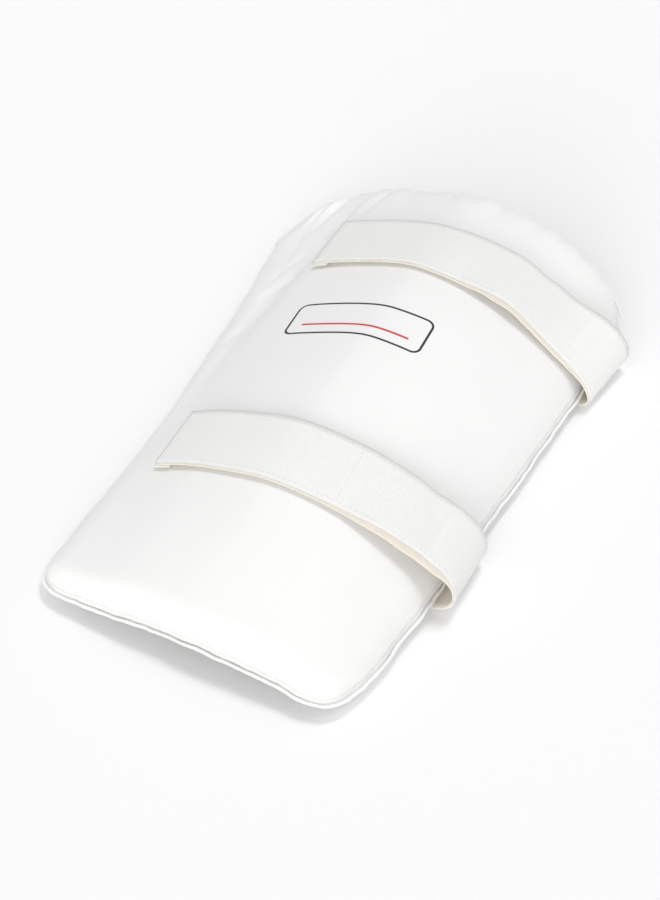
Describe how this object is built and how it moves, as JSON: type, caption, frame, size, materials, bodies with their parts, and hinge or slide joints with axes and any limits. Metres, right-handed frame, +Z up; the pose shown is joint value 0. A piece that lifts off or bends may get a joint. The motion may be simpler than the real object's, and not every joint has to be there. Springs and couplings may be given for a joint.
{
  "type": "cricket thigh guard",
  "caption": "Padded white thigh guard for cricket, arched across the thigh, with elastic straps that wrap round and close on the front with hook and loop.",
  "frame": {"origin": "under the middle of the guard, on the surface that it lies on", "axes": "+Y from the knee end to the hip end, +Z up out of the outside face, +X to the side where the straps turn under"},
  "size_m": [0.2512, 0.4014, 0.073],
  "materials": {
    "cover": "smooth matte white cover cloth over foam",
    "welt": "matte white rolled seam",
    "strap_face": "matte white woven cloth",
    "strap_lining": "matte cream ribbed elastic",
    "hook": "matte white hook tape",
    "loop": "soft cream loop tape",
    "tab": "matte cream folded tape"
  },
  "bodies": {
    "root": {"pad": "cover", "edge_welt": "welt", "lower_strap": "strap_face", "upper_strap": "strap_face", "lower_strap_lining": "strap_lining", "upper_strap_lining": "strap_lining", "lower_hook_patch": "hook", "upper_hook_patch": "hook", "lower_loop_patch": "loop", "upper_loop_patch": "loop", "lower_end_tab": "tab", "upper_end_tab": "tab"}
  },
  "joints": []
}
